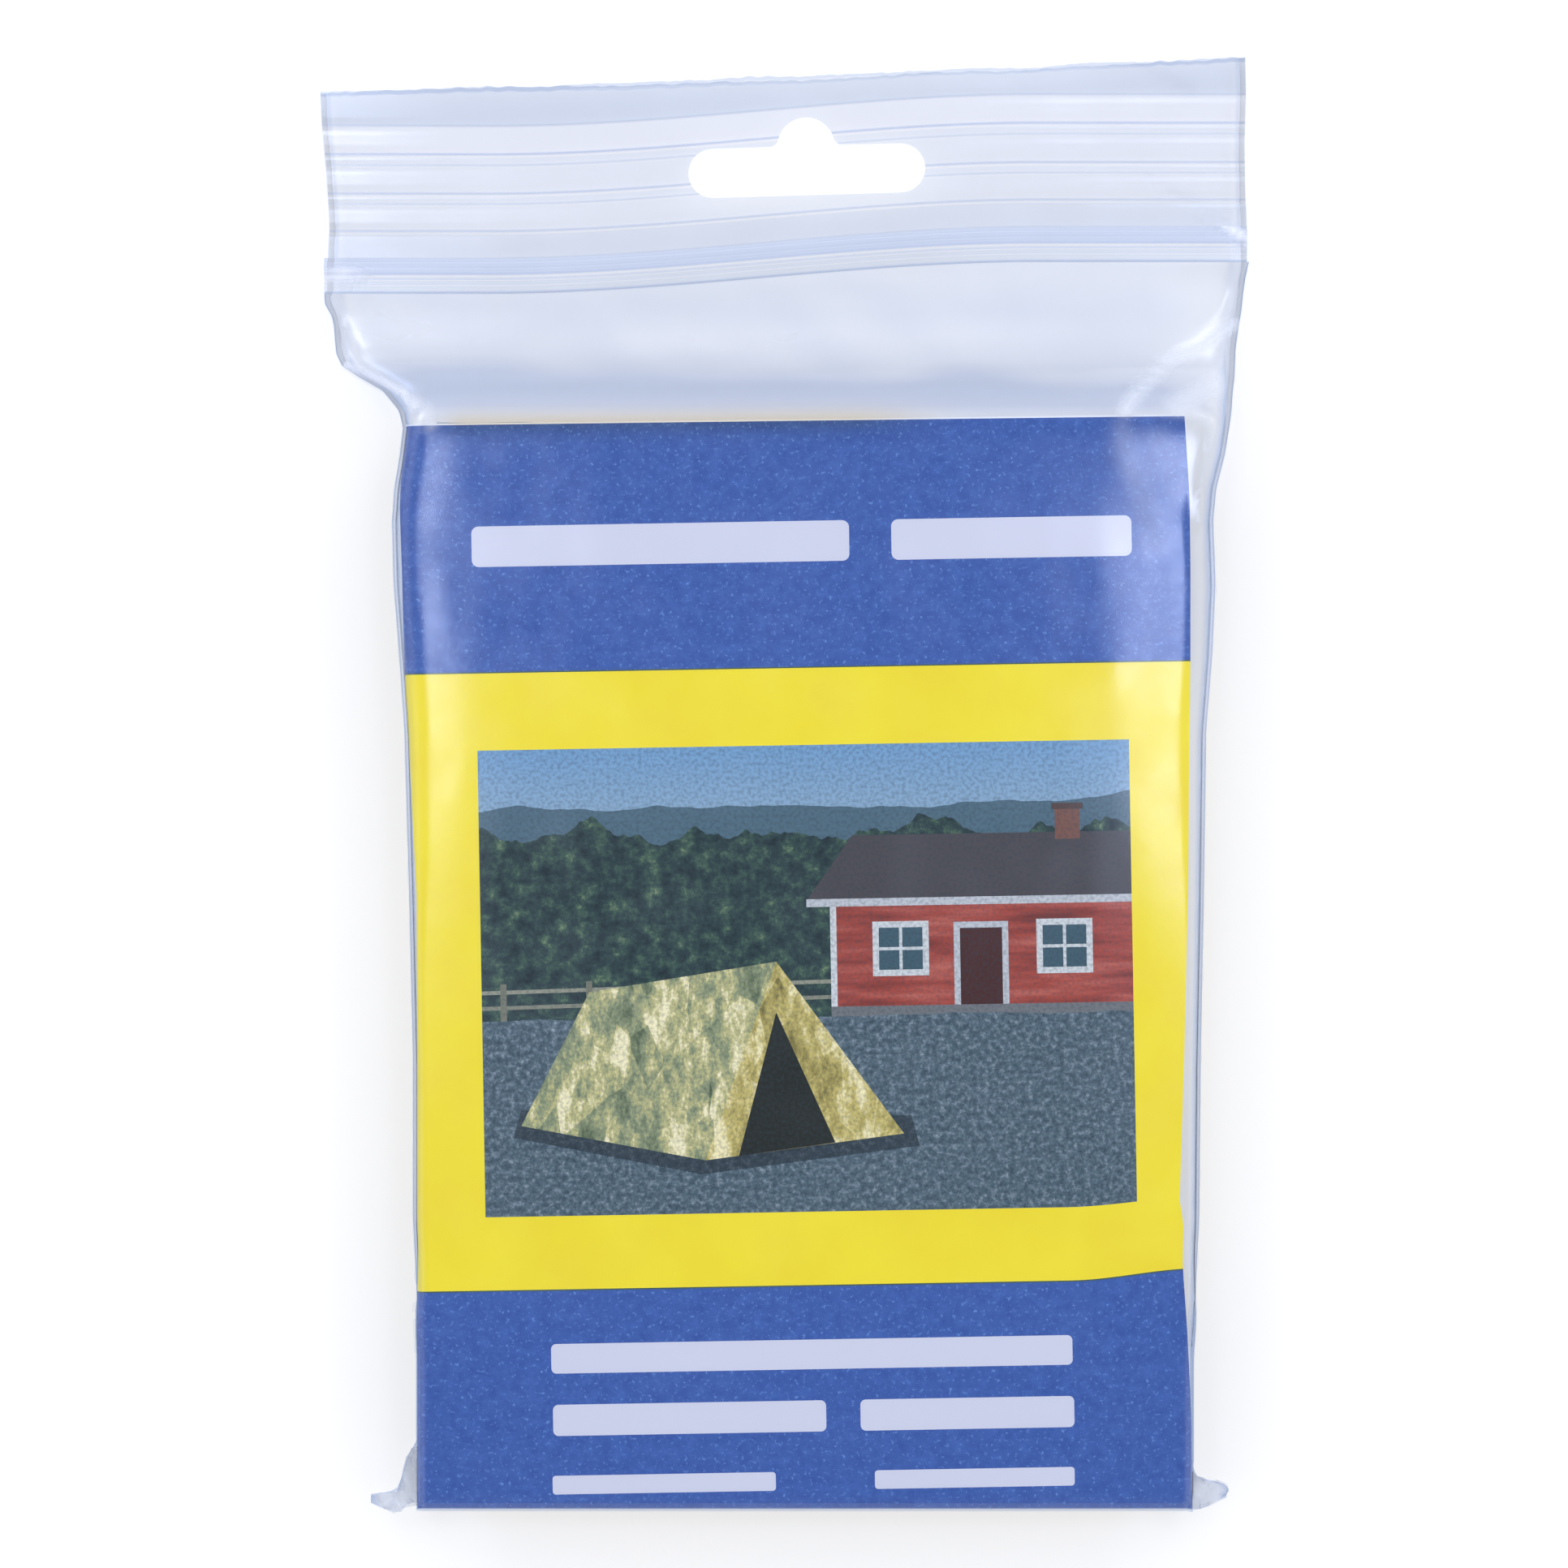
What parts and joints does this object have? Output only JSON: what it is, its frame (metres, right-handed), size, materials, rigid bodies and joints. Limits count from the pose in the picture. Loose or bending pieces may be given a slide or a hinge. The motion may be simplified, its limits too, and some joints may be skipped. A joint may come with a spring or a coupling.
{
  "type": "packed emergency foil blanket in a clear resealable bag",
  "caption": "Folded metallised foil blanket with a printed insert card, lying in a clear press-closure bag with a hang hole in its header.",
  "frame": {"origin": "centre of the pack's footprint, on the surface that it lies on", "axes": "+X to the pack's right seen from its printed face, +Y from the bottom edge up to the hang hole, +Z out of the printed face"},
  "size_m": [0.1204, 0.1884, 0.0139],
  "materials": {
    "foil": "thin metallised polyester film, gold one side and silver the other, crinkled",
    "card": "printed card with blue and yellow bands under a satin varnish",
    "film": "clear low-density polyethylene film, glossy and softly wrinkled",
    "closure": "extruded polyethylene press closure, clear with a milky tint"
  },
  "bodies": {
    "root": {"foil_blanket": "foil", "insert_card": "card", "front_film": "film", "back_film": "film", "closure_groove": "closure", "closure_ridge": "closure", "header_front": "film", "header_back": "film"}
  },
  "joints": []
}
